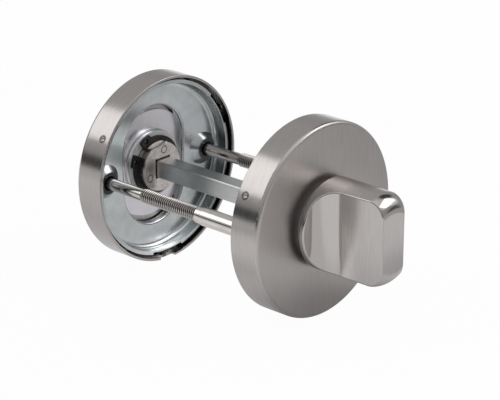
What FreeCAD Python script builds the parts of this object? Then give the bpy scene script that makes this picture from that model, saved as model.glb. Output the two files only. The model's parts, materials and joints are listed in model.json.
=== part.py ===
import FreeCAD, Part
import math
import os

from FreeCAD import Vector

# Bathroom thumb turn lock: two round roses that clamp a door between them, a thumb turn on the
# inside, a coin release on the outside, a square spindle between the two, and a pair of bolts
# that screw into sleeves through the door.
# Millimetres. +Z is up and the spindle axis is Y. The thumb turn points to -Y. The origin is on
# the spindle axis, in the door-side plane of the inside rose.
# Both roses are modelled in one rose frame: Y = 0 is the door-side plane, and Y is the depth
# from the door towards the rose's face. The inside rose is mirrored, the outside rose is moved.

# Driving dimensions of the set
door_gap = 48.0             # between the door-side planes of the two roses
rose_diameter = 53.0
rose_height = 8.85
bolt_spacing = 38.0         # centre to centre, across the spindle
spindle_side = 5.0

# Cover caps
cap_wall = 0.7
cap_edge_radius = 1.0       # rounded edge between rim and face
cap_inner_radius = 0.4
cap_rim_radius = 0.2        # broken outer edge on the door side
collar_bore_radius = 8.8
collar_length = 2.6         # from the face to the collar's free end
collar_lip_radius = 0.35
collar_foot_radius = 0.5    # between the collar and the cap's inner face
dent_angles = (30.0, 150.0, 270.0)
dent_depth_from_door = 2.5
dent_ball_radius = 1.0
dent_depth = 0.5
pry_notch_angle = 270.0
pry_notch_width = 5.8
pry_notch_depth = 1.6
inside_cap_turn = 3.0       # the round caps snap on turned a little from the plates
outside_cap_turn = -2.0

# Base plates
plate_thickness = 1.0
plate_cap_gap = 0.8         # between the plate's wall and the cap's inner wall
plate_rim_recess = 1.2      # the plate's rim lies behind the cap's rim
plate_bend_radius = 1.6     # inner radius of the bend from wall to floor
plate_floor_depth = 5.2     # door side of the floor at the bend
plate_floor_dish = 1.6      # how much deeper the cone of the floor is on the axis
relief_depth = 0.65         # cut into the wall's outside at each snap dent
relief_height = 3.0         # from the plate's rim
relief_half_angle = 13.0
window_width = 22.8         # stadium opening round the hub
window_height = 34.2
window_flange = 1.0
window_edge_radius = 0.7
boss_base_radius = 4.7
boss_top_radius = 3.1
boss_height = 1.6

# Backing discs between the plates and the caps
backing_radius = 15.25
backing_thickness = 0.5
backing_foot_clearance = 0.05

# Bolts and sleeves
bolt_thread_diameter = 3.9
bolt_shank_diameter = 3.3
bolt_length = 41.6
bolt_shank_length = 15.7    # plain part below the head, with the head in it
bolt_head_radius = 3.75
bolt_tip_chamfer = 0.5
thread_end_chamfer = 0.3
bolt_slot_width = 1.0
bolt_slot_depth = 0.9
plate_bolt_clearance = 0.15
sleeve_diameter = 4.95
sleeve_nose_diameter = 4.5
sleeve_nose_length = 2.1
sleeve_reach = 18.4         # how far the sleeve stands out of the inside rose
sleeve_head_radius = 4.1
sleeve_chamfer = 0.25
sleeve_neck_diameter = 4.89 # reduced neck under the head, inside the plate's hole
sleeve_neck_depth = 0.3     # where the neck begins, from the door-side plane
sleeve_bore_depth = 10.0    # threaded length, from the nose
plate_sleeve_clearance = 0.06
thread_clearance = 0.05
head_flush_recess = 0.1
head_seat_clearance = 0.05

# Turning parts
journal_radius = 7.2
journal_clearance = 0.05
hub_end_depth = 2.5         # door side of the hub and of the thumb turn's neck
hub_end_chamfer = 0.5
bush_collar_clearance = 0.05
washer_thickness = 0.5
washer_radius = 9.5
washer_journal_clearance = 0.2
clip_thickness = 1.0
clip_axial_clearance = 0.05
clip_groove_depth = 0.5
clip_groove_clearance = 0.05
clip_band_radius = 8.4
clip_ear_radius = 9.6
clip_ear_angles = (116.0, 160.0)
clip_ear_width = 3.6
clip_eye_radius = 0.75
clip_eye_place = 8.7        # from the spindle axis
clip_gap_half_angle = 10.0
axial_play = 0.1

# Thumb turn
turn_radius = 12.45
turn_underside_gap = 1.8    # from the rose's face to the knob
turn_reach = 22.75          # from the rose's face to the end of the knob
turn_end_radius = 4.5
turn_edge_radius = 0.45
turn_base_edge_radius = 0.3
scoop_rim_height = 3.3      # height of the scoop's floor at the knob's edge
scoop_root_height = 3.9     # height where floor and blade would meet without the fillet
scoop_fillet_radius = 6.3
blade_root_thickness = 10.2
blade_end_thickness = 8.8
turn_socket_depth = 16.0
inside_flange_radius = 10.6

# Coin release
release_disc_radius = 8.6
release_disc_thickness = 1.7
release_disc_chamfer = 0.5
outside_flange_radius = 9.8
outside_flange_thickness = 0.8
coin_slot_length = 12.5
coin_slot_width = 1.8
coin_slot_depth = 1.4
release_socket_floor = 0.6  # metal left between the square socket and the coin slot
hub_flats = ((325.0, 6.7), (98.0, 6.4))  # angle and distance from the axis
hub_flat_depth = 1.8
ejector_mark_radius = 1.1
ejector_mark_width = 0.16
ejector_mark_depth = 0.12
ejector_marks = ((0.6, 5.0), (-4.9, -2.2))

# Spindle and its pin
socket_clearance = 0.1
spindle_edge = 0.25
spindle_engagement = 2.6    # length of spindle in the release at rest
pin_radius = 1.0
pin_depth_from_door = 7.2
pin_clearance = 0.03
pin_length = 13.6

overrun = 1.0               # how far a cutting shape runs past the surface that it opens
tolerance = 1e-4            # for telling places apart
smooth_angle = math.radians(10.0)

axis_y = Vector(0, 1, 0)
axis_z = Vector(0, 0, 1)
origin = Vector(0, 0, 0)
rose_radius = rose_diameter / 2
cap_inner_face = rose_height - cap_wall
collar_end = rose_height - collar_length
collar_outer_radius = collar_bore_radius + cap_wall
backing_depth = cap_inner_face - backing_thickness
plate_radius = rose_radius - cap_wall - plate_cap_gap
plate_inner_radius = plate_radius - plate_thickness
bolt_radius = bolt_thread_diameter / 2
shank_radius = bolt_shank_diameter / 2
sleeve_radius = sleeve_diameter / 2
bolt_x = bolt_spacing / 2
washer_depth = collar_end - washer_thickness
clip_depth = washer_depth - clip_axial_clearance - clip_thickness
floor_radius = plate_inner_radius - plate_bend_radius
boss_foot_depth = plate_floor_depth + plate_floor_dish * (1 - bolt_x / floor_radius)
boss_top_depth = boss_foot_depth - boss_height
head_depth = boss_foot_depth + plate_thickness - head_flush_recess
socket_side = spindle_side + 2 * socket_clearance


def turned(outline):
    """Solid of revolution about the spindle axis through (radius, depth) corners."""
    corners = [Vector(radius, depth, 0) for radius, depth in outline]
    face = Part.Face(Part.makePolygon(corners + corners[:1]))
    return face.revolve(origin, axis_y, 360)


def disc(radius, low, high, x=0.0, z=0.0):
    """Round bar along the spindle axis between two depths."""
    return Part.makeCylinder(radius, high - low, Vector(x, low, z), axis_y)


def cone(low_radius, high_radius, low, high, x=0.0, z=0.0):
    """Frustum along the spindle axis between two depths."""
    return Part.makeCone(low_radius, high_radius, high - low, Vector(x, low, z), axis_y)


def block(size_x, low, high, size_z, x=0.0, z=0.0):
    """Box centred on x and z, between two depths."""
    corner = Vector(x - size_x / 2, low, z - size_z / 2)
    return Part.makeBox(size_x, high - low, size_z, corner)


def spun(shape, angle):
    """The shape turned about the spindle axis, from +X towards +Z."""
    turned_copy = shape.copy()
    turned_copy.rotate(origin, Vector(0, -1, 0), angle)
    return turned_copy


def ring_edges(shape, radius, depth):
    """Full circles of one radius about the spindle axis at one depth."""
    found = []
    for edge in shape.Edges:
        curve = edge.Curve
        if not isinstance(curve, Part.Circle):
            continue
        centre = curve.Center
        on_axis = math.hypot(centre.x, centre.z) < tolerance
        same_size = abs(curve.Radius - radius) < tolerance
        if on_axis and same_size and abs(centre.y - depth) < tolerance:
            found.append(edge)
    return found


def edges_along(shape, direction, keep):
    """Straight edges parallel to a direction whose middle passes a test."""
    found = []
    for edge in shape.Edges:
        if not isinstance(edge.Curve, Part.Line):
            continue
        tangent = edge.tangentAt(edge.FirstParameter)
        if tangent.cross(direction).Length < tolerance and keep(edge.CenterOfMass):
            found.append(edge)
    return found


def edge_middle(edge):
    """Point halfway along an edge."""
    return edge.valueAt((edge.FirstParameter + edge.LastParameter) / 2)


def sharp_edges(shape):
    """Edges where two faces meet at a corner, not tangent to each other."""
    found = []
    for edge in shape.Edges:
        faces = shape.ancestorsOfType(edge, Part.Face)
        if len(faces) != 2:
            continue
        middle = edge_middle(edge)
        normals = [face.normalAt(*face.Surface.parameter(middle)) for face in faces]
        if normals[0].getAngle(normals[1]) > smooth_angle:
            found.append(edge)
    return found


def sector(inner, outer, low, high, half_angle):
    """Block of a ring about +X, between two radii, two depths and plus or minus an angle."""
    far = outer / math.cos(math.radians(half_angle)) + overrun
    rise = far * math.tan(math.radians(half_angle))
    wedge = Part.Face(Part.makePolygon([
        Vector(0, low, 0), Vector(far, low, rise), Vector(far, low, -rise), Vector(0, low, 0)]))
    ring = disc(outer, low, high).cut(disc(inner, low, high))
    return wedge.extrude(Vector(0, high - low, 0)).common(ring)


def stadium(width, height, low, high):
    """Upright slot with round ends, between two depths."""
    straight = height - width
    body = block(width, low, high, straight)
    for z in (-straight / 2, straight / 2):
        body = body.fuse(disc(width / 2, low, high, 0, z))
    return body.removeSplitter()


def cover_cap(turn):
    """Drawn cup with a short inward collar, three snap dents and a pry notch in its rim."""
    inner = rose_radius - cap_wall
    cap = turned([
        (rose_radius, 0), (rose_radius, rose_height), (collar_bore_radius, rose_height),
        (collar_bore_radius, collar_end), (collar_outer_radius, collar_end),
        (collar_outer_radius, cap_inner_face), (inner, cap_inner_face), (inner, 0)])
    cap = cap.makeFillet(cap_edge_radius, ring_edges(cap, rose_radius, rose_height))
    cap = cap.makeFillet(cap_inner_radius, ring_edges(cap, inner, cap_inner_face))
    foot = ring_edges(cap, collar_outer_radius, cap_inner_face)
    cap = cap.makeFillet(collar_foot_radius, foot)
    cap = cap.makeFillet(collar_lip_radius, ring_edges(cap, collar_bore_radius, rose_height))
    cap = cap.makeFillet(cap_rim_radius, ring_edges(cap, rose_radius, 0))
    ball_centre = rose_radius + dent_ball_radius - dent_depth
    bore = disc(inner + cap_wall / 2, 0, rose_height)
    for angle in dent_angles:
        place = Vector(ball_centre, dent_depth_from_door, 0)
        bulge = Part.makeSphere(dent_ball_radius + cap_wall, place).common(bore)
        hollow = Part.makeSphere(dent_ball_radius, place)
        cap = cap.fuse(spun(bulge, angle + turn)).cut(spun(hollow, angle + turn))
    notch_size = 2 * (cap_wall + overrun)
    notch = block(notch_size, -overrun, pry_notch_depth, pry_notch_width, rose_radius)
    cap = cap.cut(spun(notch, pry_notch_angle + turn))
    return cap.removeSplitter()


def cup(radius, bend, floor):
    """Solid inside a cup's surface: wall, bend and a floor that falls as a cone to the axis."""
    rim = plate_rim_recess
    bend_start = Vector(radius, floor - bend, 0)
    bend_end = Vector(radius - bend, floor, 0)
    half = bend * math.sqrt(0.5)
    bend_middle = Vector(radius - bend + half, floor - bend + half, 0)
    middle = Vector(0, floor + plate_floor_dish, 0)
    edges = [
        Part.makeLine(Vector(0, rim, 0), Vector(radius, rim, 0)),
        Part.makeLine(Vector(radius, rim, 0), bend_start),
        Part.Arc(bend_start, bend_middle, bend_end).toShape(),
        Part.makeLine(bend_end, middle),
        Part.makeLine(middle, Vector(0, rim, 0))]
    return Part.Face(Part.Wire(edges)).revolve(origin, axis_y, 360)


def window_edges(plate):
    """Edges between the window's wall and the floor's door side."""
    half_straight = (window_height - window_width) / 2
    deepest = plate_floor_depth + plate_floor_dish
    found = []
    for edge in plate.Edges:
        point = edge_middle(edge)
        beyond = max(abs(point.z) - half_straight, 0)
        on_wall = abs(math.hypot(point.x, beyond) - window_width / 2) < tolerance
        if on_wall and point.y < deepest:
            found.append(edge)
    return found


def base_plate(hole_radius, head_radius):
    """Pressed plate: dished cup, flanged window for the hub, two dimpled bolt holes."""
    outside_cup = cup(
        plate_radius, plate_bend_radius + plate_thickness, plate_floor_depth + plate_thickness)
    flange = stadium(
        window_width + 2 * window_flange, window_height + 2 * window_flange,
        plate_floor_depth, backing_depth)
    inside_cup = cup(plate_inner_radius, plate_bend_radius, plate_floor_depth)
    plate = outside_cup.fuse(flange).cut(inside_cup)
    relief = sector(
        plate_radius - relief_depth, plate_radius + overrun,
        plate_rim_recess - overrun, plate_rim_recess + relief_height, relief_half_angle)
    for angle in dent_angles:
        plate = plate.cut(spun(relief, angle))
    plate = plate.cut(stadium(window_width, window_height, 0, rose_height + overrun))
    plate = plate.makeFillet(window_edge_radius, window_edges(plate))
    foot = boss_foot_depth + plate_thickness / 2
    flank = (boss_base_radius - boss_top_radius) / boss_height
    foot_radius = boss_base_radius + flank * (foot - boss_foot_depth)
    wall_side = disc(plate_inner_radius + plate_thickness / 2, boss_top_depth, foot)
    sink_tip = head_depth - (head_radius - hole_radius)
    for x in (-bolt_x, bolt_x):
        boss = cone(boss_top_radius, foot_radius, boss_top_depth, foot, x)
        plate = plate.fuse(boss.common(wall_side))
        plate = plate.cut(disc(hole_radius, 0, rose_height, x))
        sink = cone(hole_radius, head_radius, sink_tip, head_depth, x)
        sink = sink.fuse(disc(head_radius, head_depth, rose_height, x))
        plate = plate.cut(sink)
    return plate.removeSplitter()


def backing_disc():
    """Flat ring held against the cap's inner face by the flange of the plate's window."""
    bore = collar_outer_radius + collar_foot_radius + backing_foot_clearance
    ring = disc(backing_radius, backing_depth, cap_inner_face)
    return ring.cut(disc(bore, backing_depth, cap_inner_face))


def bush(flange_radius, flange_thickness):
    """Flanged bearing bush pushed into the cap's collar from the front."""
    bore = journal_radius + journal_clearance
    sleeve = collar_bore_radius - bush_collar_clearance
    return turned([
        (bore, collar_end), (sleeve, collar_end), (sleeve, rose_height),
        (flange_radius, rose_height), (flange_radius, rose_height + flange_thickness),
        (bore, rose_height + flange_thickness)])


def washer():
    """Flat washer on the end of the collar."""
    bore = journal_radius + washer_journal_clearance
    return disc(washer_radius, washer_depth, collar_end).cut(disc(bore, washer_depth, collar_end))


def retaining_clip():
    """External retaining ring with two eyed ears, open between them."""
    low = clip_depth
    high = clip_depth + clip_thickness
    seat = journal_radius - clip_groove_depth + clip_groove_clearance
    clip = disc(clip_band_radius, low, high)
    middle = sum(clip_ear_angles) / 2
    for angle in clip_ear_angles:
        ear = block(clip_ear_radius - seat, low, high, clip_ear_width, (clip_ear_radius + seat) / 2)
        eye = disc(clip_eye_radius, low, high, clip_eye_place)
        clip = clip.fuse(spun(ear, angle)).cut(spun(eye, angle))
    opening = sector(0.0, clip_ear_radius + overrun, low, high, clip_gap_half_angle)
    clip = clip.common(disc(clip_ear_radius, low, high))
    clip = clip.cut(disc(seat, low, high)).cut(spun(opening, middle))
    return clip.removeSplitter()


def journal(front):
    """Turning neck with its groove for the retaining clip, up to a given depth."""
    groove = journal_radius - clip_groove_depth
    groove_low = clip_depth - clip_axial_clearance
    groove_high = clip_depth + clip_thickness + clip_axial_clearance
    return turned([
        (0, hub_end_depth), (journal_radius - hub_end_chamfer, hub_end_depth),
        (journal_radius, hub_end_depth + hub_end_chamfer), (journal_radius, groove_low),
        (groove, groove_low), (groove, groove_high), (journal_radius, groove_high),
        (journal_radius, front), (0, front)])


def release_hub():
    """Coin release: slotted disc in front, and a hub with a square socket behind."""
    disc_low = rose_height + outside_flange_thickness + axial_play
    disc_high = disc_low + release_disc_thickness
    head = disc(release_disc_radius, disc_low, disc_high)
    head = head.makeChamfer(release_disc_chamfer, ring_edges(head, release_disc_radius, disc_high))
    hub = journal(disc_low).fuse(head)
    slot_floor = disc_high - coin_slot_depth
    hub = hub.cut(block(coin_slot_length, slot_floor, disc_high + overrun, coin_slot_width))
    socket_end = slot_floor - release_socket_floor
    behind = hub_end_depth - overrun
    hub = hub.cut(block(socket_side, behind, socket_end, socket_side))
    width = 2 * journal_radius
    for angle, offset in hub_flats:
        flat = block(width, behind, hub_end_depth + hub_flat_depth, width, offset + width / 2)
        hub = hub.cut(spun(flat, angle))
    for x, z in ejector_marks:
        floor = hub_end_depth + ejector_mark_depth
        mark = disc(ejector_mark_radius, behind, floor, x, z)
        mark = mark.cut(disc(ejector_mark_radius - ejector_mark_width, behind, floor, x, z))
        hub = hub.cut(mark)
    return hub.removeSplitter()


def scoop(side):
    """Hollow beside the grip blade: a sloping floor, a fillet and a slightly tapered wall."""
    base = rose_height
    far = turn_radius + overrun
    end = turn_reach + overrun
    root = blade_root_thickness / 2
    taper = (blade_root_thickness - blade_end_thickness) / 2 / (turn_reach - scoop_root_height)
    slope = (scoop_root_height - scoop_rim_height) / (turn_radius - root)
    corners = [
        (root, scoop_root_height), (root - taper * (end - scoop_root_height), end), (far, end),
        (far, scoop_rim_height - slope * (far - turn_radius))]
    points = [Vector(side * x, base + t, -far) for x, t in corners]
    profile = Part.Face(Part.makePolygon(points + points[:1]))
    tool = profile.extrude(Vector(0, 0, 2 * far))
    root_depth = base + scoop_root_height
    corner = edges_along(tool, axis_z, lambda middle: abs(middle.y - root_depth) < tolerance)
    return tool.makeFillet(scoop_fillet_radius, corner)


def thumb_turn():
    """Turned knob with a grip blade left between two scoops, neck and square socket behind."""
    base = rose_height + turn_underside_gap
    end = rose_height + turn_reach
    knob = disc(turn_radius, base, end)
    knob = knob.makeFillet(turn_end_radius, ring_edges(knob, turn_radius, end))
    knob = knob.makeFillet(turn_base_edge_radius, ring_edges(knob, turn_radius, base))
    for side in (-1, 1):
        knob = knob.cut(scoop(side))
    foot = base + turn_base_edge_radius + tolerance
    edges = [edge for edge in sharp_edges(knob) if edge.BoundBox.YMin > foot]
    knob = knob.makeFillet(turn_edge_radius, edges)
    body = knob.fuse(journal(base))
    socket_end = hub_end_depth + turn_socket_depth
    body = body.cut(block(socket_side, hub_end_depth - overrun, socket_end, socket_side))
    return body.cut(pin_bore()).removeSplitter()


def pin_bore():
    """Cross hole for the pin that holds the spindle in the thumb turn's neck."""
    reach = journal_radius + overrun
    centre = Vector(0, pin_depth_from_door, -reach)
    return Part.makeCylinder(pin_radius + pin_clearance, 2 * reach, centre, axis_z)


def spindle_pin():
    """Plain pin across the neck and the spindle."""
    centre = Vector(0, pin_depth_from_door, -pin_length / 2)
    return Part.makeCylinder(pin_radius, pin_length, centre, axis_z)


def slotted(body, front, head_radius):
    """The body with a screwdriver slot across its head."""
    length = 2 * (head_radius + overrun)
    slot = block(length, front - bolt_slot_depth, front + overrun, bolt_slot_width)
    return body.cut(slot)


def sleeve():
    """Bolt sleeve: countersunk slotted head, neck, bored shank and stepped nose."""
    front = head_depth
    seat = head_seat_clearance
    neck_radius = sleeve_neck_diameter / 2
    head_cone = sleeve_head_radius - neck_radius
    nose = -sleeve_reach
    shoulder = nose + sleeve_nose_length
    nose_radius = sleeve_nose_diameter / 2
    body = turned([
        (0, nose), (nose_radius - sleeve_chamfer / 2, nose), (nose_radius, nose + sleeve_chamfer),
        (nose_radius, shoulder), (sleeve_radius - sleeve_chamfer, shoulder),
        (sleeve_radius, shoulder + sleeve_chamfer), (sleeve_radius, sleeve_neck_depth),
        (neck_radius, sleeve_neck_depth), (neck_radius, front - head_cone + seat),
        (sleeve_head_radius - seat, front), (0, front)])
    bore_radius = bolt_radius + thread_clearance
    body = body.cut(disc(bore_radius, nose - overrun, nose + sleeve_bore_depth))
    return slotted(body, front, sleeve_head_radius)


def bolt():
    """Countersunk slotted bolt with a reduced shank; the thread is its plain major diameter."""
    front = head_depth
    seat = head_seat_clearance
    head_cone = bolt_head_radius - shank_radius
    tip = front - bolt_length
    thread_start = front - bolt_shank_length
    body = turned([
        (0, tip), (bolt_radius - bolt_tip_chamfer, tip), (bolt_radius, tip + bolt_tip_chamfer),
        (bolt_radius, thread_start - thread_end_chamfer), (shank_radius, thread_start),
        (shank_radius, front - head_cone + seat), (bolt_head_radius - seat, front), (0, front)])
    return slotted(body, front, bolt_head_radius)


def spindle():
    """Square bar from the thumb turn's socket into the release, in the rose frame."""
    start = -(hub_end_depth + turn_socket_depth - axial_play)
    end = door_gap + hub_end_depth + spindle_engagement
    bar = block(spindle_side, start, end, spindle_side)
    bar = bar.makeChamfer(spindle_edge, edges_along(bar, axis_y, lambda middle: True))
    cross = Vector(0, -pin_depth_from_door, -spindle_side)
    hole = Part.makeCylinder(pin_radius + pin_clearance, 2 * spindle_side, cross, axis_z)
    return bar.cut(hole)


def inside(shape, x=0.0):
    """Rose frame to the inside rose: mirrored in the door-side plane."""
    mirrored = shape.mirror(origin, axis_y)
    mirrored.translate(Vector(x, 0, 0))
    return mirrored


def outside(shape, x=0.0):
    """Rose frame to the outside rose."""
    moved = shape.copy()
    moved.translate(Vector(x, door_gap, 0))
    return moved


bolt_hole_radius = bolt_radius + plate_bolt_clearance
sleeve_hole_radius = sleeve_radius + plate_sleeve_clearance

nodes = {
    "inside_cap": inside(cover_cap(inside_cap_turn)),
    "inside_plate": inside(base_plate(sleeve_hole_radius, sleeve_head_radius)),
    "inside_backing": inside(backing_disc()),
    "inside_bush": inside(bush(inside_flange_radius, turn_underside_gap - axial_play)),
    "inside_washer": inside(washer()),
    "inside_clip": inside(retaining_clip()),
    "thumb_turn": inside(thumb_turn()),
    "spindle": spindle(),
    "spindle_pin": inside(spindle_pin()),
    "left_sleeve": inside(sleeve(), -bolt_x),
    "right_sleeve": inside(sleeve(), bolt_x),
    "outside_cap": outside(cover_cap(outside_cap_turn)),
    "outside_plate": outside(base_plate(bolt_hole_radius, bolt_head_radius)),
    "outside_backing": outside(backing_disc()),
    "outside_bush": outside(bush(outside_flange_radius, outside_flange_thickness)),
    "outside_washer": outside(washer()),
    "outside_clip": outside(retaining_clip()),
    "release_hub": outside(release_hub()),
    "left_bolt": outside(bolt(), -bolt_x),
    "right_bolt": outside(bolt(), bolt_x),
}

os.makedirs("parts", exist_ok=True)
for name, shape in nodes.items():
    solids = shape.Solids
    print(name, "solids", len(solids), "valid", shape.isValid(), "volume", round(shape.Volume, 2))
    single = solids[0] if len(solids) == 1 else shape
    single.exportStep("parts/" + name + ".step")
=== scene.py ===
import itertools
import json
import math

import bpy
import numpy as np
from mathutils import Matrix, Vector


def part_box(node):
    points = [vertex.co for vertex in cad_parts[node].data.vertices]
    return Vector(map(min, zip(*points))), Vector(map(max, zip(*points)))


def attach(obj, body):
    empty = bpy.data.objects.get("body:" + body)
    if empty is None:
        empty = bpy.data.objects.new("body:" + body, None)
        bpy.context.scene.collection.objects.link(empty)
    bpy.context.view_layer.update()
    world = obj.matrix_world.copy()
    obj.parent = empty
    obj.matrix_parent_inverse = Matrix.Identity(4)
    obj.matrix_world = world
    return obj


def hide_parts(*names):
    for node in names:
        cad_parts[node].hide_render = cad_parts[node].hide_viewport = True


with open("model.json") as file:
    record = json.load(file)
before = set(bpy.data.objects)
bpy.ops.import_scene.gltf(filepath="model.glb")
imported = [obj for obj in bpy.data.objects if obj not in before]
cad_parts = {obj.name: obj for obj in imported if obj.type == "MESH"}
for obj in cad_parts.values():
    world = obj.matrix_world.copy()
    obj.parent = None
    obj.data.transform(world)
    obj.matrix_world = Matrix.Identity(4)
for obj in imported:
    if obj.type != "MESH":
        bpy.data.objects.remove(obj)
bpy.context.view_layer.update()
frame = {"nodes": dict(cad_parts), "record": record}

MM = 0.001
IMAGE_WIDTH = 500
SENSOR_MM = 36.0

# Where the photograph was taken from, found by fitting the circles of both roses
CAMERA_MM = (-376.245, -328.965, 198.011)
TARGET_MM = (2.471, 19.912, -2.523)
FOCAL_PIXELS = 2052.68

# Box lights: place in metres and power in watts
LAMPS = {
    "key": ((-0.48, 0.62, 0.60), 1.1),
    "front_top": ((0.56, -0.42, 0.66), 2.4)}
LAMP_AIM = (0.0, 0.02, 0.0)
LAMP_SIZE = (0.6, 0.5)

WHITE = (1.0, 1.0, 1.0)
AMBIENT = (0.45, 0.45, 0.46)
# What polished metal sees of the studio by the height of the view: on the left a dark band over
# the table's far edge, then a grey wall that grows lighter towards a white ceiling
SKY_LEFT = [(0.0, 0.06), (0.15, 0.05), (0.22, 0.5), (0.8, 0.6), (1.0, 1.0)]
SKY_RIGHT = [(0.0, 0.6), (0.12, 0.44), (0.36, 0.42), (0.55, 0.52), (0.8, 0.55), (1.0, 1.0)]
SKY_SIDES = (-0.3, 0.3)  # x of the view where the left wall ends and where the right one is full
# Round cards on the right: direction, cosines of the soft edge and of the full card, level
STUDIO_CARDS = (
    ((0.70, -0.40, 0.58), (0.935, 0.960), 1.0),
    ((0.70, 0.16, 0.69), (0.955, 0.980), 0.06),
    ((0.74, -0.67, 0.06), (0.975, 0.990), 0.10))

FLOOR_Z = -26.6 * MM
FLOOR_HALF = 3.0
FLOOR_PAPER = [(0.0, 0.90), (1.0, 0.93)]
# Grey level of the table as polished metal sees it, a glow painted with light and shade: a dark
# round patch under the lock, which is a painted shadow, with its middle's y and its soft edge in
# millimetres, and what the open table adds
SHADOW_PATCH_LEVEL = 0.34
SHADOW_PATCH_Y = -10.0
SHADOW_PATCH_EDGE = (10.0, 36.0)
OPEN_TABLE_LEVEL = 0.44
# What each zone of the table adds, with the soft steps that bound it, in millimetres: the axis,
# where the step starts and where the zone is full
TABLE_ZONES = {
    "left_light": (0.22, [("x", -34.0, -58.0)]),
    "left_light_end": (-0.132, [("x", -34.0, -58.0), ("y", 45.0, 85.0)]),
    "right_shade": (-0.26, [("x", 66.0, 92.0), ("y", 120.0, 40.0)]),
    "front_shade": (-0.2, [("x", 20.0, 32.0), ("x", 92.0, 66.0), ("y", -40.0, -52.0)]),
    "front_light": (0.36, [("x", 20.0, 32.0), ("x", 92.0, 66.0), ("y", -60.0, -74.0)]),
    "back": (0.22, [("y", 90.0, 200.0)]),
    "far_left": (-0.3, [("x", -110.0, -180.0)])}
# How much of what a camera ray and a glossy ray meet on the floor is its own light, not its paper
CAMERA_SHARE = 0.97
GLOSSY_SHARE = 0.85

# Colours of the metals and plastics by tone, from 0 to 1
CAP_TONES = [(0.2, (0.385, 0.362, 0.352)), (0.8, (0.515, 0.487, 0.475))]
# Painted highlight: the bright colour of the caps' collar, which is also more polished
CAP_COLLAR_HIGHLIGHT = (0.86, 0.86, 0.87)
# Painted shade: the dark line round each snap dent
DENT_SHADE_COLOUR = (0.09, 0.083, 0.08)
TURN_TONES = [
    (0.2, (0.42, 0.395, 0.385)), (0.8, (0.54, 0.515, 0.505)), (1.0, (0.66, 0.635, 0.62))]
PLATE_TONES = [
    (0.0, (0.22, 0.235, 0.24)), (0.3, (0.44, 0.465, 0.475)), (0.7, (0.62, 0.645, 0.655)),
    (1.0, (0.80, 0.82, 0.825))]
# Painted shade round the bolts on the base plates
PLATE_HOLE_SHADE = (0.05, 0.052, 0.055)
BAR_TONES = [(0.0, (0.38, 0.40, 0.395)), (0.8, (0.66, 0.68, 0.67))]
BACKING_TONES = [(0.2, (0.70, 0.685, 0.72)), (0.8, (0.78, 0.765, 0.80))]
CAST_TONES = [(0.1, (0.24, 0.22, 0.21)), (0.4, (0.50, 0.455, 0.435)), (0.6, (0.74, 0.70, 0.68))]
# Painted shade round the socket, and the lines of the ejector marks
CAST_SHADE_AND_MARK_LINE = (0.03, 0.028, 0.027)
# Painted shade: the dark colour of the coin release's polished side
CAST_SIDE_SHADE = (0.20, 0.185, 0.175)
CAST_FRONT_TONES = [(0.2, (0.40, 0.377, 0.367)), (0.8, (0.53, 0.502, 0.49))]
NICKEL_TONES = [(0.3, (0.60, 0.57, 0.54)), (0.7, (0.70, 0.67, 0.64))]
BOLT_TONES = [(0.3, (0.56, 0.53, 0.50)), (0.7, (0.66, 0.63, 0.60))]
# Painted shade in the bolts' thread grooves
BOLT_GROOVE_SHADE = (0.035, 0.031, 0.028)
SPRING_TONES = [(0.3, (0.012, 0.012, 0.012)), (0.7, (0.035, 0.035, 0.035))]
BLACK_NYLON_TONES = [(0.3, (0.012, 0.012, 0.013)), (0.7, (0.025, 0.025, 0.027))]
PALE_NYLON_TONES = [(0.3, (0.62, 0.63, 0.62)), (0.7, (0.72, 0.73, 0.72))]
GREY_NYLON_TONES = [(0.3, (0.30, 0.295, 0.29)), (0.7, (0.36, 0.355, 0.35))]

# Brush lines to the metre across the brushing, and the factor that stretches them along it
BRUSH_LINES = 5600.0
CAP_BRUSH = 0.04
TURN_BRUSH = 0.03
SOFT_CLOUDS = 90.0
NOISE_ROUGHNESS = 0.55

# Places where a finish, a painted light or a painted shade changes, in millimetres, as the start
# and end of a soft step
# Painted light on the caps' faces: full towards -X of the first value, gone past the second
CAP_LEFT_PAINTED_LIGHT = (-18.0, -4.0)
CAP_COLLAR_EDGE = (10.8, 11.2)
INSIDE_FACE = (-8.5, -8.3)
OUTSIDE_FACE = (56.3, 56.5)
# Width of the painted shade line round the snap dents
DENT_SHADE_LINE = (0.12, 0.32)
DENT_WALL = (20.0, 21.0)
TURN_DISC = (-19.0, -18.0)
# Painted light on the thumb turn's grip root: where it starts along y, and how high it reaches
GRIP_ROOT = (-25.0, -20.0)
GRIP_ROOT_TOP = (0.0, 8.0)
CROWN_ROOT = (-25.0, -22.0)
# Painted light and shade on the base plates: towards +X, towards -X, low down and at the foot
PLATE_RIGHT_SHADE = (6.0, 20.0)
PLATE_LEFT_LIGHT = (-19.0, -12.0)
PLATE_LOW = (-4.0, 6.0)
PLATE_FOOT_LIGHT = (-22.5, -20.0)
# Where the painted shade round the bolts is full and where it ends
PLATE_HOLE_SHADE_EDGE = (2.9, 3.5)
# Where the painted shade on the bar's far end starts and is full
BAR_FAR_SHADE = (30.0, 42.0)
CAST_END = (51.5, 52.0)
CAST_FRONT = (56.2, 56.8)
CAST_NECK = (6.85, 7.1)
# Width of the painted shade line round the square socket
SOCKET_SHADE_LINE = (2.8, 2.94)
EJECTOR_LINE = (0.08, 0.2)
# Bounds of the painted shade patch on the coin release's end: towards +X, at the top, at the foot
CAST_SHADE_RIGHT = (-4.5, -2.0)
CAST_SHADE_TOP = (1.0, 3.5)
CAST_SHADE_FOOT = (-6.0, -4.5)

# Snap dents of the caps and ejector marks of the coin release, in millimetres and degrees
CAP_PLACES = ((0.0, 3.0), (48.0, -2.0))  # each cap's door side along the spindle, and its turn
DENT_ANGLES = (30.0, 150.0, 270.0)
DENT_FROM_DOOR = 2.5
DENT_EDGE = 0.95
EJECTOR_MARKS = ((0.6, 5.0), (-4.9, -2.2))
EJECTOR_RADIUS = 1.02

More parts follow.
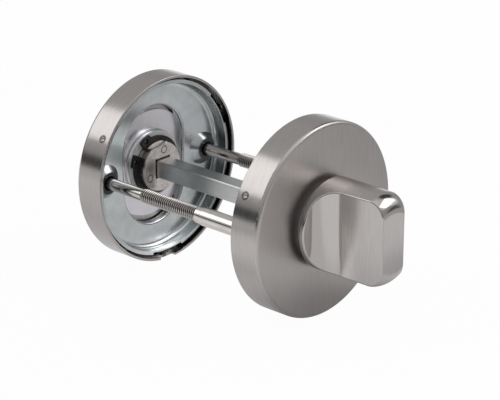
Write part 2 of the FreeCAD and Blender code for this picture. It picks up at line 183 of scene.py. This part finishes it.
# Bolts, in millimetres
THREAD_PITCH = 0.7
THREAD_RADIUS = 1.95
THREAD_DEPTH = 0.4
THREAD_CREST = 0.1
THREAD_FLANKS = 0.8
SHANK_RADIUS = 1.65
SHANK_LENGTH = 15.7
HEAD_RADIUS = 3.7
HEAD_CONE = 2.05
TIP_CHAMFER = 0.5
SLOT_WIDTH = 1.0
SLOT_DEPTH = 0.9
BOLT_X = 19.0
THREAD_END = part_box("left_bolt")[1].y / MM - SHANK_LENGTH
BOLT_COLUMNS = 48
STEPS_PER_PITCH = 12
EDGE_STEP = 0.05
SHARP_DEGREES = 32


def look_from(place, aim):
    """Matrix of a camera or a light at a place that looks at a point, both in metres."""
    turned = (aim - place).to_track_quat("-Z", "Y").to_matrix().to_4x4()
    return Matrix.Translation(place) @ turned


def add_camera():
    """Camera at the photograph's place, aimed without roll or shift."""
    data = bpy.data.cameras.new("camera")
    data.sensor_width = SENSOR_MM
    data.lens = FOCAL_PIXELS / IMAGE_WIDTH * SENSOR_MM
    data.clip_start = 0.01
    data.clip_end = 20.0
    camera = bpy.data.objects.new("camera", data)
    bpy.context.scene.collection.objects.link(camera)
    camera.matrix_world = look_from(Vector(CAMERA_MM) * MM, Vector(TARGET_MM) * MM)
    bpy.context.scene.camera = camera


def add_lamp(name, place, power):
    """Soft box light at a place, in metres, aimed at the lock."""
    data = bpy.data.lights.new(name, "AREA")
    data.shape = "RECTANGLE"
    data.size, data.size_y = LAMP_SIZE
    data.energy = power
    light = bpy.data.objects.new(name, data)
    bpy.context.scene.collection.objects.link(light)
    light.matrix_world = look_from(Vector(place), Vector(LAMP_AIM))


class Wire:
    """A number that varies over a surface; arithmetic on it adds Math nodes."""

    def __init__(self, graph, socket):
        self.graph = graph
        self.socket = socket

    def math(self, operation, *terms):
        return self.graph.node("ShaderNodeMath", {"operation": operation}, terms)

    def __add__(self, other):
        return self.math("ADD", self, other)

    def __sub__(self, other):
        return self.math("SUBTRACT", self, other)

    def __rsub__(self, other):
        return self.math("SUBTRACT", other, self)

    def __mul__(self, other):
        return self.math("MULTIPLY", self, other)

    def __truediv__(self, other):
        return self.math("DIVIDE", self, other)

    def __rtruediv__(self, other):
        return self.math("DIVIDE", other, self)

    def __pow__(self, other):
        return self.math("POWER", self, other)

    def __abs__(self):
        return self.math("ABSOLUTE", self)

    def __or__(self, other):
        """The larger of the two."""
        return self.math("MAXIMUM", self, other)

    __radd__ = __add__
    __rmul__ = __mul__
    __ror__ = __or__

    def above(self, start, full, step="SMOOTHSTEP"):
        """0 before start, 1 past full, and a step between them that is soft unless told."""
        return self.graph.node(
            "ShaderNodeMapRange", {"interpolation_type": step},
            {"Value": self, "From Min": start, "From Max": full})

    def below(self, full, end):
        """1 before full, 0 past end, a soft step between them."""
        return 1.0 - self.above(full, end)

    def output(self, name):
        """Another output of the same node."""
        return Wire(self.graph, self.socket.node.outputs[name])


class Graph:
    """The node tree of a material or a world, with the shader that it feeds."""

    def __init__(self, owner, shader):
        self.owner = owner
        owner.use_nodes = True
        self.tree = owner.node_tree
        self.shader = self.tree.nodes[shader]

    def node(self, kind, settings=None, values=(), output=0):
        """A node of any type: its settings first, then values or links for its inputs."""
        made = self.tree.nodes.new(kind)
        for key, setting in (settings or {}).items():
            if key == "stops":
                self.set_stops(made.color_ramp, setting)
            else:
                setattr(made, key, setting)
        pairs = values.items() if isinstance(values, dict) else enumerate(values)
        for key, value in pairs:
            self.feed(made.inputs[key], value)
        return Wire(self, made.outputs[output])

    def set_stops(self, ramp, stops):
        """Stops of a colour ramp, each a place with a grey level or a colour."""
        while len(ramp.elements) < len(stops):
            ramp.elements.new(1.0)
        for element, (place, level) in zip(ramp.elements, stops):
            element.position = place
            element.color = (level, level, level, 1.0) if isinstance(level, float) else (*level, 1.0)

    def feed(self, socket, value):
        """Links a wire to a socket, or sets the socket's value."""
        if isinstance(value, Wire):
            self.tree.links.new(value.socket, socket)
        elif isinstance(value, tuple) and len(value) == 3 and socket.type == "RGBA":
            socket.default_value = (*value, 1.0)
        else:
            socket.default_value = value

    def set(self, **values):
        """The shader's sockets by name, with _ for a space."""
        for key, value in values.items():
            self.feed(self.shader.inputs[key.replace("_", " ")], value)

    def place(self, scale):
        """Object coordinates in metres, stretched by a factor per axis."""
        coordinates = self.node("ShaderNodeTexCoord", output="Object")
        return self.node("ShaderNodeMapping", None, {"Vector": coordinates, "Scale": scale})

    def axes(self):
        """Object coordinates as three numbers, in millimetres."""
        parts = self.node("ShaderNodeSeparateXYZ", None, (self.place((1 / MM, 1 / MM, 1 / MM)),))
        return [parts.output(axis) for axis in "XYZ"]

    def facing(self, axis):
        """How squarely the surface faces along an axis, either way, from 0 to 1."""
        normal = self.node("ShaderNodeTexCoord", output="Normal")
        parts = self.node("ShaderNodeSeparateXYZ", None, (normal,))
        return abs(parts.output(axis))

    def noise(self, scale, detail, stretch=(1, 1, 1)):
        """Noise from 0 to 1 whose cells are one metre over scale, before the stretch."""
        return self.node(
            "ShaderNodeTexNoise", None,
            {"Vector": self.place(stretch), "Scale": scale, "Detail": detail,
             "Roughness": NOISE_ROUGHNESS})

    def ramp(self, value, stops):
        return self.node("ShaderNodeValToRGB", {"stops": stops}, (value,))

    def blend(self, share, first, second):
        """Colour that goes from first to second as share goes from 0 to 1."""
        mix = self.node("ShaderNodeMix", {"data_type": "RGBA"}, {"Factor": share})
        self.feed(mix.socket.node.inputs["A"], first)
        self.feed(mix.socket.node.inputs["B"], second)
        return mix.output("Result")

    def bump(self, height, distance, strength):
        return self.node(
            "ShaderNodeBump", None, {"Height": height, "Distance": distance, "Strength": strength})


def new_finish(name):
    """Graph of a new material."""
    return Graph(bpy.data.materials.new(name), "Principled BSDF")


def distance(across, up):
    """Distance from an axis, (across^2 + up^2)^0.5."""
    return (across * across + up * up) ** 0.5


def satin_cap():
    """Satin nickel of the caps: fine upright brush lines, lines round the rim, a collar painted bright.

    The faces are a little lighter towards -X, which is painted light. The collar is where the
    distance from the spindle's axis is under CAP_COLLAR_EDGE, between the two faces of the caps; it
    is more polished, and its bright colour is a painted highlight. A dark line of painted shade
    stands round each snap dent, where the distance from the dent's axis is DENT_EDGE."""
    g = new_finish("satin_nickel_cap")
    face = g.facing("Y").above(0.3, 0.7)
    upright = g.noise(BRUSH_LINES, 3.0, (1.0, 1.0, CAP_BRUSH))
    around = g.noise(BRUSH_LINES, 3.0, (CAP_BRUSH, 1.0, CAP_BRUSH))
    lines = upright * face + around * (1 - face)
    soft = g.noise(SOFT_CLOUDS, 2.0)
    x, y, z = g.axes()
    # Painted light: the caps' faces are lighter towards -X
    tone = lines * 0.8 + soft * 0.2 + x.below(*CAP_LEFT_PAINTED_LIGHT) * face * 0.3
    # The collar is more polished, and its bright colour is a painted highlight
    collar = distance(x, z).below(*CAP_COLLAR_EDGE) * y.above(*INSIDE_FACE) * y.below(*OUTSIDE_FACE)
    # Painted shade: a dark line round each snap dent's edge
    edges = 0.0
    for (door, turn), degrees in itertools.product(CAP_PLACES, DENT_ANGLES):
        angle = math.radians(degrees + turn)
        depth = abs(y - door) - DENT_FROM_DOOR
        along = z * math.cos(angle) - x * math.sin(angle)
        outwards = (x * math.cos(angle) + z * math.sin(angle)).above(*DENT_WALL)
        line = abs(distance(along, depth) - DENT_EDGE).below(*DENT_SHADE_LINE)
        edges = edges | line * outwards * 0.8
    dent_shaded = g.blend(edges, g.ramp(tone, CAP_TONES), DENT_SHADE_COLOUR)
    g.set(
        Base_Color=g.blend(collar, dent_shaded, CAP_COLLAR_HIGHLIGHT), Metallic=1.0,
        Roughness=(lines * 0.1 + 0.13 + face * 0.17) * (1.0 - collar * 0.5),
        Normal=g.bump(lines, 0.000006, 0.7))
    return g.owner


def satin_turn():
    """Satin nickel of the thumb turn: upright brush lines, more polished from TURN_DISC on.

    The grip's root is lighter on its lower half, which is painted light, and what faces up or
    down is rougher from CROWN_ROOT on."""
    g = new_finish("satin_nickel_turn")
    _, y, z = g.axes()
    polished = y.above(*TURN_DISC)
    crown = g.facing("Z").above(0.5, 0.8) * y.above(*CROWN_ROOT)
    # Painted light: the grip's root is lighter on its lower half
    root = y.above(*GRIP_ROOT) * (1.0 - polished) * z.below(*GRIP_ROOT_TOP)
    lines = g.noise(BRUSH_LINES, 3.0, (1.0, 1.0, TURN_BRUSH))
    soft = g.noise(SOFT_CLOUDS, 2.0)
    tone = (lines * 0.8 + soft * 0.2) * (1.0 - polished * 0.6) + polished * 0.36 + root * 0.5
    g.set(
        Base_Color=g.ramp(tone, TURN_TONES), Metallic=1.0,
        Roughness=lines * 0.06 + 0.13 - polished * 0.05 + crown * 0.22,
        Normal=g.bump(lines, 0.000004, 0.4))
    return g.owner


def zinc_plate():
    """Zinc-plated pressed steel of the base plates: cool grey with clouds and soft streaks.

    It is darker towards +X, most of all low down, lighter at the foot and high up towards -X,
    which is painted light and shade, and near black round the bolts, which is painted shade."""
    g = new_finish("zinc_plated_steel")
    cloud = g.noise(160.0, 3.0)
    grain = g.noise(2400.0, 2.0)
    streaks = g.noise(700.0, 3.0, (0.25, 1.0, 0.25))
    x, _, z = g.axes()
    low = z.below(*PLATE_LOW)
    # Painted light and shade: darker towards +X, most of all low down, lighter at the foot and high up
    # towards -X
    tone = cloud * 0.5 + streaks * 0.5 - x.above(*PLATE_RIGHT_SHADE) * (low * 0.25 + 0.15)
    tone = tone + z.below(*PLATE_FOOT_LIGHT) * 0.3 + x.below(*PLATE_LEFT_LIGHT) * (1.0 - low) * 0.2
    # Painted shade: near black round the bolts
    hole_shade = distance(abs(x) - BOLT_X, z).below(*PLATE_HOLE_SHADE_EDGE)
    g.set(
        Base_Color=g.blend(hole_shade, g.ramp(tone, PLATE_TONES), PLATE_HOLE_SHADE), Metallic=1.0,
        Roughness=streaks * 0.1 + grain * 0.04 + 0.15, Normal=g.bump(grain, 0.000004, 0.4))
    return g.owner


def zinc_bar():
    """Zinc-plated drawn steel of the spindle and its pin: lines along the bar, painted shade at the far
    end.
    """
    g = new_finish("zinc_plated_bar")
    lines = g.noise(2600.0, 3.0, (1.0, 0.03, 1.0))
    cloud = g.noise(240.0, 2.0)
    _, y, _ = g.axes()
    # Painted shade: the bar is darker towards its far end
    tone = cloud * 0.6 + lines * 0.4 - y.above(*BAR_FAR_SHADE) * 0.25
    g.set(
        Base_Color=g.ramp(tone, BAR_TONES), Metallic=1.0,
        Roughness=lines * 0.12 + 0.24, Normal=g.bump(lines, 0.000005, 0.5))
    return g.owner


def backing_steel():
    """Smooth passivated steel of the backing discs, a shade towards lilac."""
    g = new_finish("passivated_steel")
    cloud = g.noise(200.0, 2.0)
    g.set(Base_Color=g.ramp(cloud, BACKING_TONES), Metallic=1.0, Roughness=cloud * 0.08 + 0.3)
    return g.owner


def die_cast_zinc():
    """Die-cast zinc of the coin release: cast grain on its end, a polished side painted dark, satin
    front.

    On the end, dark lines stand round the square socket, which are painted shade, where
    max(|x|, |z|) is under SOCKET_SHADE_LINE, and in the ejector marks, where the distance from a mark's
    centre is near its radius. A patch towards -X is darker, which is painted shade, and the polished
    side's dark colour is painted shade too."""
    g = new_finish("die_cast_zinc")
    grain = g.noise(1800.0, 3.0)
    cloud = g.noise(260.0, 3.0)
    brushed = g.noise(BRUSH_LINES, 3.0, (1.0, 1.0, CAP_BRUSH))
    x, y, z = g.axes()
    end = y.below(*CAST_END)
    front = y.above(*CAST_FRONT)
    side = distance(x, z).above(*CAST_NECK) * (1.0 - front)
    # Painted shade round the square socket; the rings after it are the ejector marks
    lines = (abs(x) | abs(z)).below(*SOCKET_SHADE_LINE)
    for mark_x, mark_z in EJECTOR_MARKS:
        ring = abs(distance(x - mark_x, z - mark_z) - EJECTOR_RADIUS)
        lines = lines | ring.below(*EJECTOR_LINE) * 0.8
    # Painted shade: a darker patch on the end towards -X
    cast_shade_patch = x.below(*CAST_SHADE_RIGHT) * z.below(*CAST_SHADE_TOP) * z.above(*CAST_SHADE_FOOT)
    tone = cloud * 0.5 + grain * 0.5 - cast_shade_patch * end * 0.35
    marked = g.blend(lines * end, g.ramp(tone, CAST_TONES), CAST_SHADE_AND_MARK_LINE)
    # The side is more polished, and its dark colour is painted shade
    polished = g.blend(side, marked, CAST_SIDE_SHADE)
    g.set(
        Base_Color=g.blend(front, polished, g.ramp(brushed, CAST_FRONT_TONES)), Metallic=0.9,
        Roughness=(grain * 0.2 + 0.3) * (1.0 - side * 0.6) * (1.0 - front * 0.3),
        Normal=g.bump(grain * (1.0 - front) + brushed * front * 0.06, 0.00002, 0.5))
    return g.owner


def bright_nickel():
    """Polished nickel plate of the sleeves."""
    g = new_finish("bright_nickel")
    cloud = g.noise(400.0, 3.0)
    g.set(Base_Color=g.ramp(cloud, NICKEL_TONES), Metallic=1.0, Roughness=cloud * 0.08 + 0.1)
    return g.owner


def threaded_nickel():
    """Polished nickel plate of the bolts, dull in the grooves of the thread and dark there as painted
    shade.

    The groove's share is (THREAD_RADIUS - distance from the bolt's axis) / THREAD_DEPTH, and it
    ends where the shank begins."""
    g = new_finish("bright_nickel_thread")
    cloud = g.noise(400.0, 3.0)
    x, y, z = g.axes()
    threaded = y.below(THREAD_END - 0.5, THREAD_END)
    depth = (THREAD_RADIUS - distance(abs(x) - BOLT_X, z)) / THREAD_DEPTH
    groove = depth.above(0.1, 0.6) * threaded
    # The grooves are rougher, and their dark colour is painted shade
    g.set(
        Base_Color=g.blend(groove, g.ramp(cloud, BOLT_TONES), BOLT_GROOVE_SHADE), Metallic=1.0,
        Roughness=cloud * 0.08 + 0.1 + threaded * 0.12 + groove * 0.2)
    return g.owner


def moulded_nylon(name, tones):
    """Moulded nylon with a fine grain."""
    g = new_finish(name)
    grain = g.noise(900.0, 3.0)
    g.set(
        Base_Color=g.ramp(grain, tones), Roughness=grain * 0.2 + 0.35,
        Normal=g.bump(grain, 0.00002, 0.4))
    return g.owner


def black_spring_steel():
    """Phosphated spring steel of the retaining rings."""
    g = new_finish("black_spring_steel")
    grain = g.noise(1200.0, 3.0)
    g.set(
        Base_Color=g.ramp(grain, SPRING_TONES), Metallic=0.5,
        Roughness=grain * 0.25 + 0.3, Normal=g.bump(grain, 0.00002, 0.4))
    return g.owner


SLOT_FINISHES = {
    "satin_nickel": satin_cap(),
    "zinc_plated_steel": zinc_plate(),
    "die_cast_zinc": die_cast_zinc(),
    "bright_nickel": bright_nickel(),
    "black_nylon": moulded_nylon("black_nylon", BLACK_NYLON_TONES),
    "pale_nylon": moulded_nylon("pale_nylon", PALE_NYLON_TONES),
    "black_spring_steel": black_spring_steel(),
}
BOLT_FINISH = threaded_nickel()
BAR_FINISH = zinc_bar()
BACKING_FINISH = backing_steel()
# The bush is grey because the gap in front of it, behind the thumb turn, is wider than the photo's
NODE_FINISHES = {
    "thumb_turn": satin_turn(), "spindle": BAR_FINISH, "spindle_pin": BAR_FINISH,
    "inside_backing": BACKING_FINISH, "outside_backing": BACKING_FINISH,
    "inside_bush": moulded_nylon("grey_nylon", GREY_NYLON_TONES)}


def dress_nodes():
    """Gives every CAD node the finish of its material slot, or its own."""
    for row in frame["record"]["subparts"]:
        node = frame["nodes"][row["node"]]
        node.data.materials.clear()
        node.data.materials.append(NODE_FINISHES.get(row["node"], SLOT_FINISHES[row["material_slot"]]))


def grid_faces(rows, columns):
    """Quads of a grid that closes round its columns, with a fan at each end.

    Vertex i * columns + j is row i, column j; the two poles come last."""
    i, j = np.meshgrid(np.arange(rows - 1), np.arange(columns), indexing="ij")
    after = (j + 1) % columns
    quads = np.stack([
        i * columns + j, i * columns + after, (i + 1) * columns + after, (i + 1) * columns + j], -1)
    first_pole = rows * columns
    ring = np.arange(columns)
    following = (ring + 1) % columns
    last_row = (rows - 1) * columns
    low_fan = np.stack([np.full(columns, first_pole), following, ring], -1)
    high_fan = np.stack([np.full(columns, first_pole + 1), last_row + ring, last_row + following], -1)
    return quads.reshape(-1, 4).tolist() + low_fan.tolist() + high_fan.tolist()


def make_piece(name, points, faces):
    """Mesh object of a bolt's metal from points in millimetres, smooth but for its sharp edges."""
    mesh = bpy.data.meshes.new(name)
    mesh.from_pydata(points * MM, [], faces)
    mesh.polygons.foreach_set("use_smooth", np.ones(len(mesh.polygons), bool))
    mesh.set_sharp_from_angle(angle=math.radians(SHARP_DEGREES))
    mesh.materials.append(BOLT_FINISH)
    piece = bpy.data.objects.new(name, mesh)
    bpy.context.scene.collection.objects.link(piece)
    return piece


def cut_slot(piece, centre_x, front):
    """Cuts the screwdriver slot into a bolt's head and deletes the cutter."""
    length = HEAD_RADIUS * 2.5
    corners = np.array([
        (x, y, z) for x in (-length / 2, length / 2) for y in (-SLOT_DEPTH, SLOT_DEPTH)
        for z in (-SLOT_WIDTH / 2, SLOT_WIDTH / 2)]) + (centre_x, front, 0)
    faces = [(0, 1, 3, 2), (4, 6, 7, 5), (0, 4, 5, 1), (2, 3, 7, 6), (0, 2, 6, 4), (1, 5, 7, 3)]
    cutter = make_piece("slot_cutter", corners, faces)
    cut = piece.modifiers.new("slot", "BOOLEAN")
    cut.object = cutter
    cut.solver = "EXACT"
    graph = bpy.context.evaluated_depsgraph_get()
    finished = bpy.data.meshes.new_from_object(piece.evaluated_get(graph))
    piece.modifiers.clear()
    piece.data = finished
    bpy.data.objects.remove(cutter)


def threaded_bolt(node, body):
    """Countersunk bolt with a rolled thread from its tip to a reduced shank.

    A profile r(y) is carried round the bolt's axis. Over the threaded length the thread is cut
    into it: with t = y / pitch - angle / 360 and w = |2 frac(t) - 1|, the groove's depth is
    THREAD_DEPTH * clip((w - THREAD_CREST) / THREAD_FLANKS, 0, 1). It runs out into the shank
    over one pitch."""
    low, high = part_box(node)
    centre_x = (low.x + high.x) / 2 / MM
    tip = low.y / MM
    front = high.y / MM
    thread_end = front - SHANK_LENGTH
    head_foot = front - HEAD_CONE
    threaded = np.arange(tip + TIP_CHAMFER / 4, thread_end, THREAD_PITCH / STEPS_PER_PITCH)
    smooth = np.array([
        thread_end, thread_end + EDGE_STEP, head_foot - EDGE_STEP, head_foot,
        head_foot + EDGE_STEP, front - EDGE_STEP, front])
    y = np.concatenate([[tip], threaded, smooth])
    profile = np.interp(
        y, [tip, tip + TIP_CHAMFER, thread_end - THREAD_PITCH, thread_end, head_foot, front],
        [THREAD_RADIUS - TIP_CHAMFER, THREAD_RADIUS, THREAD_RADIUS, SHANK_RADIUS, SHANK_RADIUS,
         HEAD_RADIUS])
    angle = np.arange(BOLT_COLUMNS) / BOLT_COLUMNS * 2 * np.pi
    turns = y[:, None] / THREAD_PITCH - angle[None, :] / (2 * np.pi)
    wave = np.abs(2 * (turns % 1.0) - 1)
    groove = THREAD_DEPTH * np.clip((wave - THREAD_CREST) / THREAD_FLANKS, 0, 1)
    runout = np.clip((thread_end - y) / THREAD_PITCH, 0, 1)[:, None]
    cut = np.minimum(profile[:, None], THREAD_RADIUS - groove)
    radius = cut * runout + profile[:, None] * (1 - runout)
    ring = np.stack([
        centre_x + radius * np.sin(angle), np.broadcast_to(y[:, None], radius.shape),
        radius * np.cos(angle)], -1).reshape(-1, 3)
    poles = np.array([(centre_x, tip, 0), (centre_x, front, 0)])
    faces = grid_faces(len(y), BOLT_COLUMNS)
    piece = make_piece(node + "_threaded", np.concatenate([ring, poles]), faces)
    cut_slot(piece, centre_x, front)
    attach(piece, body)
    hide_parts(node)


def add_world():
    """Studio that lights in even grey, and that the camera sees as white.

    Glossy rays see a pattern in it: the sky by height, another on the left than on the right,
    with the round cards over it, each where the direction's cosine to the card is high."""
    g = Graph(bpy.data.worlds.new("studio"), "Background")
    bpy.context.scene.world = g.owner
    direction = g.node("ShaderNodeTexCoord", output="Generated")
    parts = g.node("ShaderNodeSeparateXYZ", None, (direction,))
    height = parts.output("Z")
    right = parts.output("X").above(*SKY_SIDES, "LINEAR")
    studio = g.blend(right, g.ramp(height, SKY_LEFT), g.ramp(height, SKY_RIGHT))
    for card, edge, level in STUDIO_CARDS:
        cosine = g.node(
            "ShaderNodeVectorMath", {"operation": "DOT_PRODUCT"},
            (direction, Vector(card).normalized()), output="Value")
        studio = g.blend(cosine.above(*edge, "LINEAR"), studio, (level, level, level))
    path = g.node("ShaderNodeLightPath")
    seen = g.blend(path.output("Is Glossy Ray"), AMBIENT, studio)
    seen = g.blend(path.output("Is Transmission Ray"), seen, WHITE)
    g.set(Color=g.blend(path.output("Is Camera Ray"), seen, WHITE))


def add_floor():
    """Pale floor under the two rims, near white to the camera.

    Glossy rays see a grey table on it, whose level changes with the place: the floor glows there,
    with a painted shadow under the lock and painted light and shade in zones round it."""
    mesh = bpy.data.meshes.new("floor")
    corners = [(-1, -1), (1, -1), (1, 1), (-1, 1)]
    mesh.from_pydata([(x * FLOOR_HALF, y * FLOOR_HALF, FLOOR_Z) for x, y in corners], [], [(0, 1, 2, 3)])
    floor = bpy.data.objects.new("floor", mesh)
    bpy.context.scene.collection.objects.link(floor)
    g = new_finish("floor_paper")
    g.set(Base_Color=g.ramp(g.noise(40.0, 2.0), FLOOR_PAPER), Roughness=0.9)
    path = g.node("ShaderNodeLightPath")
    camera = path.output("Is Camera Ray")
    glossy = path.output("Is Glossy Ray")
    x, y, _ = g.axes()
    # Painted shadow under the lock in what glossy rays see of the floor, and painted light and shade by
    # zone
    table = distance(x, y - SHADOW_PATCH_Y).above(*SHADOW_PATCH_EDGE) * OPEN_TABLE_LEVEL + SHADOW_PATCH_LEVEL
    for level, steps in TABLE_ZONES.values():
        for axis, start, full in steps:
            level = level * (x if axis == "x" else y).above(start, full)
        table = table + level
    shown = g.blend(glossy, WHITE, g.ramp(table, [(0.0, 0.0), (1.0, 1.0)]))
    light = g.node("ShaderNodeEmission", None, {"Color": shown})
    share = camera * CAMERA_SHARE + glossy * GLOSSY_SHARE
    paper = Wire(g, g.shader.outputs["BSDF"])
    mixed = g.node("ShaderNodeMixShader", None, (share, paper, light))
    g.tree.links.new(mixed.socket, g.tree.nodes["Material Output"].inputs["Surface"])
    mesh.materials.append(g.owner)


dress_nodes()
threaded_bolt("left_bolt", "left_bolt")
threaded_bolt("right_bolt", "right_bolt")
add_camera()
add_world()
add_floor()
for lamp, (lamp_place, lamp_power) in LAMPS.items():
    add_lamp(lamp, lamp_place, lamp_power)

bpy.context.scene.view_settings.view_transform = "Standard"
